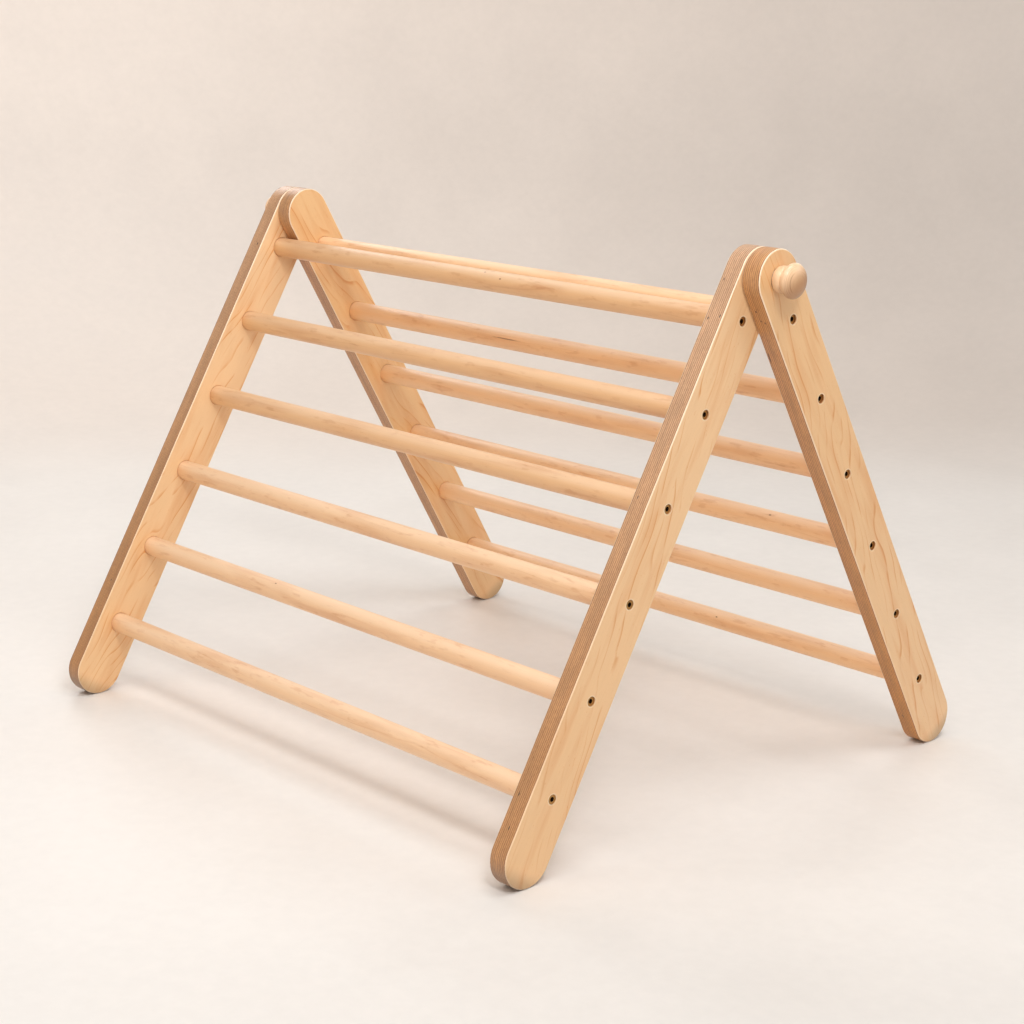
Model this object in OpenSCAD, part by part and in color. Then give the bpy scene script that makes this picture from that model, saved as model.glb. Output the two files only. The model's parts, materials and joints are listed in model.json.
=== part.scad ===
// Folding climbing triangle: two ladder frames of plywood stringers and round
// rungs, joined at the top by two knobs that clamp the overlapping stringers.
//
// X runs along the rungs, with the left stringers at -X and the right ones at
// +X. The front frame leans towards -Y and the rear frame towards +Y. The feet
// stand on z = 0, with the origin midway between them. All sizes are in mm.
//
// On the right the front frame's stringer is the inner one, and on the left the
// rear frame's is, so both frames are the same ladder, turned half round.

/* [Ladder frames] */
// Clear width between the two stringers of one frame
frame_clear_w = 873; // [400:1:1300]
// Width of a stringer across its flat face
stringer_w = 72; // [60:1:110]
// Thickness of the stringer plywood
stringer_t = 27; // [24:1:36]
// Radius of the rounded arris along both faces of a stringer
arris_r = 2; // [0.5:0.25:6]
// Diameter of a rung
rung_d = 28; // [24:0.5:40]
// Distance from one rung to the next along a stringer
rung_pitch = 121; // [70:1:180]
// Number of rungs in each frame
rung_count = 6; // [2:1:7]
// Distance from the lowest rung to the centre of the round foot
foot_reach = 74; // [45:1:140]

/* [Opening] */
// Angle between the two frames as they stand
opening_angle = 60.5; // [50:0.5:120]
// Gap between a top rung and the other frame's stringer as they stand
top_rung_gap = 1.35; // [0.5:0.05:20]
// Thickness of the washer between two overlapping stringers
spacer_t = 1; // [0.5:0.25:3]
// Outer diameter of that washer
spacer_d = 34; // [20:1:50]

/* [Rung joints] */
// Depth of the round socket that a rung end sits in
socket_depth = 12; // [8:0.5:15]
// Radial clearance between a rung and its socket
socket_fit = 0.2; // [0.05:0.05:0.5]
// Chamfer round the mouth of a socket
socket_chamfer = 0.8; // [0.2:0.1:2]
// Gap between a rung's end and the bottom of its socket
rung_end_gap = 0.3; // [0:0.1:2]
// Small chamfer at a rung's ends
rung_chamfer = 1; // [0.2:0.1:3]

/* [Rung screws] */
// Shank diameter of a screw
screw_d = 6; // [4:0.5:7]
// Length of a screw with its head
screw_l = 80; // [50:1:110]
// Diameter of a screw head
screw_head_d = 11.4; // [10:0.2:14]
// Height of the straight rim above the cone of a screw head
screw_rim_h = 0.8; // [0.4:0.1:1.5]
// Depth of the six-lobed driver recess
recess_depth = 2.4; // [1:0.1:3]
// Diameter of the recess across its lobes
recess_d = 5.6; // [4:0.1:6]
// Length of a screw's pointed tip
screw_tip_l = 8; // [4:0.5:12]

/* [Knobs] */
// Largest diameter of a knob's head
knob_d = 43.2; // [36:0.2:60]
// Overall length of a knob
knob_l = 31; // [28:0.5:45]
// Height of the domed front of the head
knob_dome_h = 9; // [5:0.5:14]
// Diameter of the collar that bears on the washer
knob_collar_d = 33.2; // [28:0.2:35]
// Length of the collar
knob_collar_l = 10.5; // [6:0.5:12]
// Length of the bead between the collar's groove and the head
knob_bead_l = 3.4; // [2:0.2:5]
// Thickness of the washer under a knob
knob_washer_t = 1; // [0.5:0.25:2]
// Diameter of the washer under a knob
knob_washer_d = 29; // [20:1:30]

/* [Studs and inserts] */
// Thread diameter of a stud
stud_d = 8; // [6:1:8]
// How deep a stud is screwed into its insert, a whole number of turns
stud_in_insert = 18.75; // [10:1.25:18.75]
// How deep a stud is glued into its knob
stud_in_knob = 20; // [12:1:22]
// Radial clearance of a stud in the bore that turns on it and in its insert
stud_fit = 0.05; // [0.02:0.01:0.1]
// Outer diameter of a threaded insert
insert_d = 12; // [11.5:0.5:16]
// Length of a threaded insert
insert_l = 20; // [19:0.5:21]
// How far an insert sits below the face of its stringer
insert_sunk = 0.5; // [0.25:0.25:1]

/* [Hidden] */
// How far each screw head lies below the face, top rung first: hand-driven
// screws stop at slightly different depths.
front_sinks = [2.2, 2.1, 1.5, 0.8, 1.6, 0.7];
rear_sinks = [2.4, 2.6, 2.0, 2.5, 2.1, 2.3];

// Clearances of pieces that don't move against each other
seat_fit = 0.05;          // a shank in its pilot hole, a cone on its seat, an insert in its bore
shank_hole_fit = 0.3;     // a screw shank in the stringer
head_hole_fit = 0.5;      // round a screw head's rim
washer_hole_fit = 0.3;    // a washer on its stud
washer_face_fit = 0.05;   // each flat side of a washer and what turns on it
pilot_extra_l = 1;        // beyond a screw's tip
blind_extra_l = 1.5;      // beyond an insert and beyond a stud in its knob
stud_chamfer = 0.8;
over = 1;                 // how far a cut runs past the face it opens

screw_turn = 17;          // degrees that each driver recess is turned from the last
insert_ridge_pitch = 2.5;
insert_ridge_h = 1;

front = -1;               // the side that a frame leans to
rear = 1;
left = -1;
right = 1;

rung_r = rung_d / 2;
half_angle = opening_angle / 2;

// A top rung clears the other frame's stringer, which is a straight edge up to
// a right angle and a round end past it.
first_rung_at = (stringer_w / 2 + rung_r + top_rung_gap) / sin(min(opening_angle, 90));
foot_at = first_rung_at + (rung_count - 1) * rung_pitch + foot_reach;
pivot_h = foot_at * cos(half_angle) + stringer_w / 2;

// The seam is the middle of the gap between two overlapping stringers.
seam_x = (frame_clear_w + stringer_t) / 2;
seam_gap = spacer_t + 2 * washer_face_fit;
inner_mid_x = seam_x - (seam_gap + stringer_t) / 2;
outer_mid_x = seam_x + (seam_gap + stringer_t) / 2;
inner_face_x = seam_x - seam_gap / 2;                  // the inner stringer's face at the seam
outer_face_x = seam_x + seam_gap / 2 + stringer_t;     // the outer stringer's outside

screw_r = screw_d / 2;
screw_head_r = screw_head_d / 2;
screw_cone_h = screw_head_r - screw_r;
screw_web = stringer_t - socket_depth;                 // wood that a screw passes through

rung_reach = socket_depth - rung_end_gap;              // of a rung in its socket
rung_l = frame_clear_w + 2 * rung_reach;

stud_r = stud_d / 2;
insert_mouth_x = inner_face_x - insert_sunk;
knob_seat_x = outer_face_x + knob_washer_t + 2 * washer_face_fit;
stud_l = knob_seat_x + stud_in_knob - (insert_mouth_x - stud_in_insert);

wood_face = [0.90, 0.73, 0.55];
wood_rung = [0.95, 0.80, 0.62];
wood_knob = [0.92, 0.76, 0.60];
brass_zinc = [0.72, 0.58, 0.30];
zinc = [0.72, 0.72, 0.70];

$fn = 64;

// Distance of rung i from the pivot, along a stringer
function rung_at(i) = first_rung_at + (i - 1) * rung_pitch;

// Depth of the screw head at rung i of a frame
function sink(side, i) =
    let (depths = side == front ? front_sinks : rear_sinks)
    depths[(i - 1) % len(depths)];

// Middle of a frame's rungs along X: the front frame's right stringer is the
// inner one, and so is the rear frame's left one.
function frame_mid_x(side) = side * (stringer_t + seam_gap) / 2;

// ---- places -------------------------------------------------------------

// A frame's own axes: X down the stringers from the pivot, Z along the rungs
module in_frame(side) {
    translate([0, 0, pivot_h])
        rotate([side * half_angle, 0, 0])
            rotate([0, 90, 0])
                children();
}

// Z along the pivot, outwards on the given side
module at_pivot(way) {
    translate([0, 0, pivot_h])
        rotate([0, way * 90, 0])
            children();
}

// Turns +Z to the given way along Z
module facing(way) {
    rotate([way > 0 ? 0 : 180, 0, 0])
        children();
}

// ---- stringers ----------------------------------------------------------

// One half of a stringer's cross-section, from its middle out to the edge
module edge_section() {
    half_w = stringer_w / 2;
    half_t = stringer_t / 2;
    translate([0, -half_t])
        square([half_w - arris_r, stringer_t]);
    translate([0, arris_r - half_t])
        square([half_w, stringer_t - 2 * arris_r]);
    for (y = [-1, 1])
        translate([half_w - arris_r, y * (half_t - arris_r)])
            circle(arris_r);
}

module half_round_end() {
    rotate([0, 0, -90])
        rotate_extrude(angle = 180)
            edge_section();
}

module stringer_blank() {
    rotate([0, 0, 180])
        half_round_end();
    translate([foot_at, 0, 0])
        half_round_end();
    rotate([90, 0, 90])
        linear_extrude(foot_at) {
            edge_section();
            mirror([1, 0])
                edge_section();
        }
}

// A rung socket from the inside (+Z) and its screw hole from the outside
module rung_holes(head_depth) {
    socket_r = rung_r + socket_fit;
    inside_z = stringer_t / 2;
    translate([0, 0, inside_z - socket_depth])
        cylinder(h = socket_depth + over, r = socket_r);
    translate([0, 0, inside_z - socket_chamfer])
        cylinder(h = 2 * socket_chamfer, r1 = socket_r, r2 = socket_r + 2 * socket_chamfer);
    translate([0, 0, -inside_z]) {
        translate([0, 0, -over])
            cylinder(h = over + head_depth + screw_rim_h, r = screw_head_r + head_hole_fit);
        translate([0, 0, head_depth + screw_rim_h])
            cylinder(h = screw_cone_h, r1 = screw_head_r + seat_fit, r2 = screw_r + seat_fit);
        cylinder(h = screw_web + over, r = screw_r + shank_hole_fit);
    }
}

module stud_hole() {
    cylinder(h = stringer_t + 2 * over, r = stud_r + stud_fit, center = true);
}

// A blind hole from the outside (-Z)
module insert_hole() {
    depth = insert_sunk + insert_l + blind_extra_l;
    translate([0, 0, -stringer_t / 2 - over])
        cylinder(h = depth + over, r = insert_d / 2 + seat_fit);
}

// inside is the way along X from the stringer to the middle of its frame
module stringer(side, mid_x, inside, holds_insert) {
    in_frame(side)
        translate([0, 0, mid_x])
            facing(inside)
                difference() {
                    stringer_blank();
                    for (i = [1:rung_count])
                        translate([rung_at(i), 0, 0])
                            rung_holes(sink(side, i));
                    if (holds_insert)
                        insert_hole();
                    else
                        stud_hole();
                }
}

module front_left_stringer() {
    color(wood_face)
        stringer(front, -outer_mid_x, right, false);
}

module front_right_stringer() {
    color(wood_face)
        stringer(front, inner_mid_x, left, true);
}

module rear_left_stringer() {
    color(wood_face)
        stringer(rear, -inner_mid_x, right, true);
}

module rear_right_stringer() {
    color(wood_face)
        stringer(rear, outer_mid_x, left, false);
}

// ---- rungs --------------------------------------------------------------

module rung_blank() {
    straight_l = rung_l - 2 * rung_chamfer;
    cylinder(h = straight_l, r = rung_r, center = true);
    for (way = [left, right])
        facing(way)
            translate([0, 0, straight_l / 2])
                cylinder(h = rung_chamfer, r1 = rung_r, r2 = rung_r - rung_chamfer);
}

// A rung with a pilot hole in each end grain
module rung(side, i) {
    pilot_l = screw_l + sink(side, i) - screw_web - rung_end_gap + pilot_extra_l;
    color(wood_rung)
        in_frame(side)
            translate([rung_at(i), 0, frame_mid_x(side)])
                difference() {
                    rung_blank();
                    for (way = [left, right])
                        facing(way)
                            translate([0, 0, rung_l / 2 - pilot_l])
                                cylinder(h = pilot_l + over, r = screw_r + seat_fit);
                }
}

module front_rung(i) {
    rung(front, i);
}

module rear_rung(i) {
    rung(rear, i);
}

// ---- screws -------------------------------------------------------------

// Six round lobes round a core
module driver_recess() {
    lobe_r = recess_d / 7;
    translate([0, 0, -recess_depth]) {
        cylinder(h = recess_depth + over, r = recess_d / 2 - lobe_r);
        for (a = [0:60:300])
            rotate([0, 0, a])
                translate([recess_d / 2 - lobe_r, 0, 0])
                    cylinder(h = recess_depth + over, r = lobe_r, $fn = 24);
    }
}

// A countersunk screw along -Z, with the top of its head at z = 0
module screw() {
    difference() {
        union() {
            translate([0, 0, -screw_rim_h])
                cylinder(h = screw_rim_h, r = screw_head_r);
            translate([0, 0, -screw_rim_h - screw_cone_h])
                cylinder(h = screw_cone_h, r1 = screw_r, r2 = screw_head_r);
            translate([0, 0, screw_tip_l - screw_l])
                cylinder(h = screw_l - screw_tip_l - screw_rim_h - screw_cone_h, r = screw_r);
            translate([0, 0, -screw_l])
                cylinder(h = screw_tip_l, r1 = screw_r / 6, r2 = screw_r);
        }
        driver_recess();
    }
}

// All the screws of one stringer
module screw_row(side, mid_x, inside) {
    in_frame(side)
        translate([0, 0, mid_x])
            for (i = [1:rung_count])
                translate([rung_at(i), 0, 0])
                    facing(-inside)
                        translate([0, 0, stringer_t / 2 - sink(side, i)])
                            rotate([0, 0, screw_turn * i])
                                screw();
}

module front_left_screws() {
    color(brass_zinc)
        screw_row(front, -outer_mid_x, right);
}

module front_right_screws() {
    color(brass_zinc)
        screw_row(front, inner_mid_x, left);
}

module rear_left_screws() {
    color(brass_zinc)
        screw_row(rear, -inner_mid_x, right);
}

module rear_right_screws() {
    color(brass_zinc)
        screw_row(rear, outer_mid_x, left);
}

// ---- knobs, studs, inserts and washers ----------------------------------

// Outline of a knob as [radius, height above its seat], turned on a lathe: a
// barrel-shaped collar, a groove, a half-round bead, a cove and a domed head
collar_r = knob_collar_d / 2;
collar_belly = 1.1;        // how much the collar swells at its middle
groove_depth = 1.4;
groove_l = 1.2;
bead_r = collar_r + 0.3;
head_r = knob_d / 2;
rim_l = 1.6;               // the edge where the cove meets the dome
rim_w = 1;
cove_from = knob_collar_l + groove_l + knob_bead_l;
cove_to = knob_l - knob_dome_h - rim_l;
arc_steps = 8;

function collar_curve() = [
    for (k = [0:arc_steps])
        let (s = 2 * k / arc_steps - 1)
        [collar_r - collar_belly * s * s, knob_collar_l * k / arc_steps]
];

function bead_curve() = [
    for (k = [0:arc_steps])
        let (a = 180 * k / arc_steps)
        [bead_r - groove_depth * (1 - sin(a)), knob_collar_l + groove_l + knob_bead_l * k / arc_steps]
];

function cove_curve() = [
    for (k = [1:arc_steps])
        let (a = 90 * k / arc_steps)
        [
            bead_r - groove_depth + (head_r - rim_w - bead_r + groove_depth) * (1 - cos(a)),
            cove_from + (cove_to - cove_from) * sin(a)
        ]
];

function dome_curve() = [
    for (k = [0:2 * arc_steps])
        let (a = 45 * k / arc_steps)
        [head_r * cos(a), knob_l - knob_dome_h * (1 - sin(a))]
];

function knob_outline() = concat(
    [[0, 0]],
    collar_curve(),
    [[collar_r - collar_belly - groove_depth, knob_collar_l + groove_l / 2]],
    bead_curve(),
    cove_curve(),
    [for (p = dome_curve()) [max(p[0], 0), p[1]]]
);

module knob() {
    difference() {
        rotate_extrude($fn = 96)
            polygon(knob_outline());
        translate([0, 0, -over])
            cylinder(h = stud_in_knob + blind_extra_l + over, r = stud_r + seat_fit);
    }
}

module stud() {
    cylinder(h = stud_chamfer, r1 = stud_r - stud_chamfer, r2 = stud_r);
    translate([0, 0, stud_chamfer])
        cylinder(h = stud_l - 2 * stud_chamfer, r = stud_r);
    translate([0, 0, stud_l - stud_chamfer])
        cylinder(h = stud_chamfer, r1 = stud_r, r2 = stud_r - stud_chamfer);
}

// An insert with coarse ridges outside, which bite into the wood
module insert() {
    ridges = floor(insert_l / insert_ridge_pitch);
    ridge_l = insert_l / ridges;
    crest_r = insert_d / 2;
    root_r = crest_r - insert_ridge_h;
    difference() {
        rotate_extrude()
            polygon(concat(
                [[0, 0], [root_r, 0]],
                [
                    for (k = [0:ridges - 1], s = [0.5, 1])
                        [s == 1 ? root_r : crest_r, (k + s) * ridge_l]
                ],
                [[0, insert_l]]
            ));
        translate([0, 0, -over])
            cylinder(h = insert_l + 2 * over, r = stud_r + stud_fit);
    }
}

module washer(outer_d, thickness) {
    difference() {
        cylinder(h = thickness, r = outer_d / 2);
        translate([0, 0, -over])
            cylinder(h = thickness + 2 * over, r = stud_r + washer_hole_fit);
    }
}

module placed_knob(way) {
    color(wood_knob)
        at_pivot(way)
            translate([0, 0, knob_seat_x])
                knob();
}

module placed_stud(way) {
    color(zinc)
        at_pivot(way)
            translate([0, 0, insert_mouth_x - stud_in_insert])
                stud();
}

module placed_insert(way) {
    color(zinc)
        at_pivot(way)
            translate([0, 0, insert_mouth_x - insert_l])
                insert();
}

module placed_knob_washer(way) {
    color(zinc)
        at_pivot(way)
            translate([0, 0, outer_face_x + washer_face_fit])
                washer(knob_washer_d, knob_washer_t);
}

module placed_spacer_washer(way) {
    color(zinc)
        at_pivot(way)
            translate([0, 0, inner_face_x + washer_face_fit])
                washer(spacer_d, spacer_t);
}

module left_knob() { placed_knob(left); }
module right_knob() { placed_knob(right); }
module left_stud() { placed_stud(left); }
module right_stud() { placed_stud(right); }
module left_insert() { placed_insert(left); }
module right_insert() { placed_insert(right); }
module left_knob_washer() { placed_knob_washer(left); }
module right_knob_washer() { placed_knob_washer(right); }
module left_spacer_washer() { placed_spacer_washer(left); }
module right_spacer_washer() { placed_spacer_washer(right); }

front_left_stringer();
front_right_stringer();
rear_left_stringer();
rear_right_stringer();
for (i = [1:rung_count]) front_rung(i);
for (i = [1:rung_count]) rear_rung(i);
front_left_screws();
front_right_screws();
rear_left_screws();
rear_right_screws();
left_knob();
right_knob();
left_stud();
right_stud();
left_insert();
right_insert();
left_knob_washer();
right_knob_washer();
left_spacer_washer();
right_spacer_washer();
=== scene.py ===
"""Looks of a folding climbing triangle: plywood stringers, turned rungs and knobs, and a studio.

The CAD model is loaded as a fixed frame. Its stringers, rungs, screws and small metal keep their
shapes and get procedural finishes. The two knobs are turned again here, with a finer outline whose
head is fuller. Lengths in shader graphs are in mm.
"""

import json
import math

import bpy
import numpy as np
from bpy.props import FloatProperty, FloatVectorProperty, IntProperty, PointerProperty
from mathutils import Matrix, Vector


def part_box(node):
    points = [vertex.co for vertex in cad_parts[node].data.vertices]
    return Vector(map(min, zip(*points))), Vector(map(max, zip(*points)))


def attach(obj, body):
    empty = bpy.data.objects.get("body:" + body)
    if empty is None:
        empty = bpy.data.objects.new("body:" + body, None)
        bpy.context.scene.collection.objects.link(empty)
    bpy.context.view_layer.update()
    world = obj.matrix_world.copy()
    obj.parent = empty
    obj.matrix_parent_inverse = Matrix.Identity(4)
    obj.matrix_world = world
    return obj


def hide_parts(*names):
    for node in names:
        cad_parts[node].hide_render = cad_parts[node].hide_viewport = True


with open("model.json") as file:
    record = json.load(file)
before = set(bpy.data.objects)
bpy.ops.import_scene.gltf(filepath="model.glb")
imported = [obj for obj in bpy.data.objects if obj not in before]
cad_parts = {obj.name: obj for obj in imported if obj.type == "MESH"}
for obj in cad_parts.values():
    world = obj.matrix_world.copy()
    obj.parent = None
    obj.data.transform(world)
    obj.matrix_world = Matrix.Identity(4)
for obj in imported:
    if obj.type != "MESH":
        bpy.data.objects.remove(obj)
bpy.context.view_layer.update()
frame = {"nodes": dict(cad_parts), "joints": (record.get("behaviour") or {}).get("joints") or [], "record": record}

bl_info = {
    "name": "Climbing Triangle Looks",
    "version": (1, 0, 0),
    "blender": (4, 5, 0),
    "location": "View3D > Sidebar > Climbing Triangle",
    "description": "Finishes a folding climbing triangle and lights it in a pale studio",
    "category": "Object",
}

MM = 0.001
RECORD = frame["record"]
MOUNTS = {mount["name"]: mount for mount in RECORD["mounts"]}
PIVOT = Vector(next(j for j in frame["joints"] if j["name"] == "fold")["pos_m"])
TILT = math.asin(MOUNTS["front_left_edge"]["axis"][2])  # of each frame from the vertical
FRONT, REAR = -1, 1
STRINGERS = {
    "front_left_stringer": FRONT,
    "front_right_stringer": FRONT,
    "rear_left_stringer": REAR,
    "rear_right_stringer": REAR,
}
STRINGER_SEED, RUNG_SEED, KNOB_SEED = 1.0, 11.0, 31.0  # of the first of each kind
RUNGS = [f"{side}_rung_{i}" for side in ("front", "rear") for i in range(1, 7)]
SMALL_METAL = [
    f"{side}_{piece}"
    for side in ("left", "right")
    for piece in ("stud", "insert", "knob_washer", "spacer_washer")
]


def paint(red, green, blue):
    """The linear colour of three screen values from 0 to 255."""
    def linear(value):
        value /= 255
        return value / 12.92 if value <= 0.04045 else ((value + 0.055) / 1.055) ** 2.4
    return tuple(linear(value) for value in (red, green, blue))


def colour(name, description, default):
    """A colour that a user may change."""
    return FloatVectorProperty(
        name=name, description=description, default=default, subtype="COLOR", size=3, min=0, max=1
    )


class StringerLook(bpy.types.PropertyGroup):
    ply_count: IntProperty(
        name="Plies", description="Layers in the stringer plywood", default=19, min=5, max=31
    )
    veneer: colour("Veneer", "Ground of the face veneer", paint(236, 194, 144))
    veneer_line: colour("Veneer line", "Grain lines of the face veneer", paint(218, 150, 84))
    # A painted highlight: along the rounded edge of each face, and round each countersink.
    arris: colour("Arris", "Sanded edge of the face veneer", paint(252, 232, 203))
    ply_light: colour("Light ply", "Plies whose grain runs along the edge", paint(205, 161, 118))
    ply_dark: colour("Dark ply", "Plies that show end grain", paint(140, 88, 53))
    # Painted shade inside the gaps of the edge, and the wood's own dark in pin knots.
    void: colour("Void", "Small gaps and pin knots in the edge", paint(58, 34, 20))
    grain_gap: FloatProperty(
        name="Grain gap", description="Distance between grain lines, in mm",
        default=13.0, min=1, max=40,
    )


class RungLook(bpy.types.PropertyGroup):
    ground: colour("Ground", "Ground of the rung wood", paint(232, 187, 139))
    line: colour("Line", "Grain lines of the rung wood", paint(206, 147, 94))
    knot: colour("Knot", "Pin knots in the rung wood", paint(160, 100, 55))
    grain_gap: FloatProperty(
        name="Grain gap", description="Distance between grain lines, in mm",
        default=5.5, min=1, max=40,
    )


class KnobLook(bpy.types.PropertyGroup):
    sapwood: colour("Sapwood", "Light side of the knob wood", paint(247, 209, 168))
    # Heartwood colour, also used as painted shade on the knob's lower side.
    heartwood: colour("Heartwood", "Dark side of the knob wood", paint(186, 140, 98))
    line: colour("Line", "Growth rings of the knob wood", paint(154, 100, 60))
    rings: IntProperty(
        name="Points round", description="Points in each circle of a knob",
        default=144, min=24, max=256,
    )


class MetalLook(bpy.types.PropertyGroup):
    brass: colour("Screw", "Yellow plating of the screws", paint(178, 134, 80))
    # Painted shade inside the driver recess.
    recess: colour("Recess", "Dark inside of the driver recess", paint(40, 28, 18))
    zinc: colour("Zinc", "Bright plating of studs, inserts and washers", paint(190, 190, 186))


class StudioLook(bpy.types.PropertyGroup):
    floor_paint: colour("Floor", "Paint of the floor", paint(238, 234, 229))
    wall_paint: colour("Wall", "Paint of the wall", paint(241, 231, 222))
    floor_radius: FloatProperty(
        name="Floor radius", description="From the middle to where the wall starts to rise",
        default=1.9, min=1, max=10, unit="LENGTH",
    )
    bend_radius: FloatProperty(
        name="Bend radius", description="Of the curve between floor and wall",
        default=1.5, min=0.2, max=5, unit="LENGTH",
    )
    wall_height: FloatProperty(
        name="Wall height", description="Top of the wall above the floor",
        default=3.2, min=2, max=10, unit="LENGTH",
    )
    lamp_tone: colour("Lamp tone", "Colour of the lamps", (1.0, 1.0, 1.0))
    ambient: FloatProperty(
        name="Ambient", description="Strength of the light from above the wall",
        default=0.005, min=0, max=5,
    )


class ClimbingLooks(bpy.types.PropertyGroup):
    stringer: PointerProperty(type=StringerLook)
    rung: PointerProperty(type=RungLook)
    knob: PointerProperty(type=KnobLook)
    metal: PointerProperty(type=MetalLook)
    studio: PointerProperty(type=StudioLook)


def looks():
    return bpy.context.scene.climbing_looks


# ---- shader nodes -------------------------------------------------------------

NOISE_RANGE = (0.3, 0.7)   # where most values of a noise lie
TONE_RANGE = (0.35, 0.7)   # and those of a broad one


def put(tree, kind, sockets=(), **settings):
    """Adds a node. A socket given for an input is joined to it, and a value is set on it."""
    made = tree.nodes.new(kind)
    for name, value in settings.items():
        setattr(made, name, value)
    for key, value in dict(sockets).items():
        if isinstance(value, bpy.types.NodeSocket):
            tree.links.new(value, made.inputs[key])
        else:
            made.inputs[key].default_value = value
    return made


def maths(tree, operation, *values):
    return put(tree, "ShaderNodeMath", enumerate(values), operation=operation).outputs[0]


def vector_maths(tree, operation, *values):
    return put(tree, "ShaderNodeVectorMath", enumerate(values), operation=operation).outputs[0]


def dot(tree, vector, axis):
    """How far a vector reaches along an axis."""
    made = put(tree, "ShaderNodeVectorMath", {0: vector, 1: axis}, operation="DOT_PRODUCT")
    return made.outputs["Value"]


def xyz(tree, vector):
    """The three parts of a vector."""
    return put(tree, "ShaderNodeSeparateXYZ", {0: vector}).outputs


def random_for(tree, number):
    """A random value from 0 to 1 for each whole number."""
    made = put(tree, "ShaderNodeTexWhiteNoise", {"W": number}, noise_dimensions="1D")
    return made.outputs[0]


def remap(tree, value, low, high, to_low, to_high, **settings):
    sockets = {
        "Value": value, "From Min": low, "From Max": high, "To Min": to_low, "To Max": to_high,
    }
    return put(tree, "ShaderNodeMapRange", sockets, **settings).outputs[0]


def ease(tree, value, low, high, to_low=0.0, to_high=1.0):
    """Goes smoothly from to_low at low to to_high at high."""
    return remap(tree, value, low, high, to_low, to_high, interpolation_type="SMOOTHSTEP")


def spread(tree, value, to_low, to_high, low=0.0, high=1.0):
    """Goes evenly from to_low at low to to_high at high."""
    return remap(tree, value, low, high, to_low, to_high)


def blend_colours(tree, factor, first, second):
    def rgba(value):
        return value if isinstance(value, bpy.types.NodeSocket) else (*value, 1.0)
    sockets = {0: factor, 6: rgba(first), 7: rgba(second)}
    return put(tree, "ShaderNodeMix", sockets, data_type="RGBA").outputs[2]


def toned(tree, base, *factors):
    """Multiplies a colour by each of several values."""
    total = factors[0]
    for factor in factors[1:]:
        total = maths(tree, "MULTIPLY", total, factor)
    made = put(tree, "ShaderNodeVectorMath", {0: base, "Scale": total}, operation="SCALE")
    return made.outputs[0]


def warmed(tree, base, warmth):
    """Multiplies a colour by 1 - warmth x (0.1, 0.2, 0.4), so that above 0 it turns browner."""
    tint = vector_maths(tree, "MULTIPLY_ADD", warmth, (-0.1, -0.2, -0.4), (1.0, 1.0, 1.0))
    return vector_maths(tree, "MULTIPLY", base, tint)


def noise(tree, place, size, detail=2.0, roughness=0.5):
    """Noise whose features are about size long, in mm along each axis of place."""
    scaled = vector_maths(tree, "MULTIPLY", place, tuple(1 / length for length in size))
    sockets = {"Vector": scaled, "Scale": 1.0, "Detail": detail, "Roughness": roughness}
    return put(tree, "ShaderNodeTexNoise", sockets).outputs[0]


def new_group(name, inputs, outputs):
    """An empty shader node group, the sockets given to it and its output node.

    Inputs are (label, kind, default).
    """
    tree = bpy.data.node_groups.new(name, "ShaderNodeTree")
    for label, kind, default in inputs:
        socket = tree.interface.new_socket(label, in_out="INPUT", socket_type=f"NodeSocket{kind}")
        if default is not None:
            socket.default_value = default
    for label in outputs:
        tree.interface.new_socket(label, in_out="OUTPUT", socket_type="NodeSocketFloat")
    return tree, tree.nodes.new("NodeGroupInput").outputs, tree.nodes.new("NodeGroupOutput")


def give(tree, leaving, **values):
    """Joins sockets to a group's outputs and hands the group back."""
    for name, value in values.items():
        tree.links.new(value, leaving.inputs[name])
    return tree


def use_group(tree, build, **values):
    """Places the group that build makes, and makes it on first use.

    An underscore in an input's name stands for a space.
    """
    made = tree.nodes.new("ShaderNodeGroup")
    made.node_tree = bpy.data.node_groups.get(build.__name__) or build()
    for key, value in values.items():
        socket = made.inputs[key.replace("_", " ")]
        if isinstance(value, bpy.types.NodeSocket):
            tree.links.new(value, socket)
        else:
            socket.default_value = value
    return made.outputs


SEED_STEPS = (1731.0, 577.0, 311.0)   # mm from the place of one seed to that of the next
PLY_SEED_STEP = 911.0                 # the same, along the plies
PLY_RANDOM_STEP = 61.0                # and for the random step of each ply
RIPPLE = 0.05                         # height of a ripple in the grain, as a share of its wander
UNDER_VENEER = 0.8                    # the glue that shows on the ply below a face veneer
VOID_CELL = (60, 120, 9)              # mm of the cells that may each hold one void
VOID_CHANCE = 0.6                     # random value of a cell from which it holds one
VOID_SIZE = 0.07                      # radius of the largest, in cells


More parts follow.
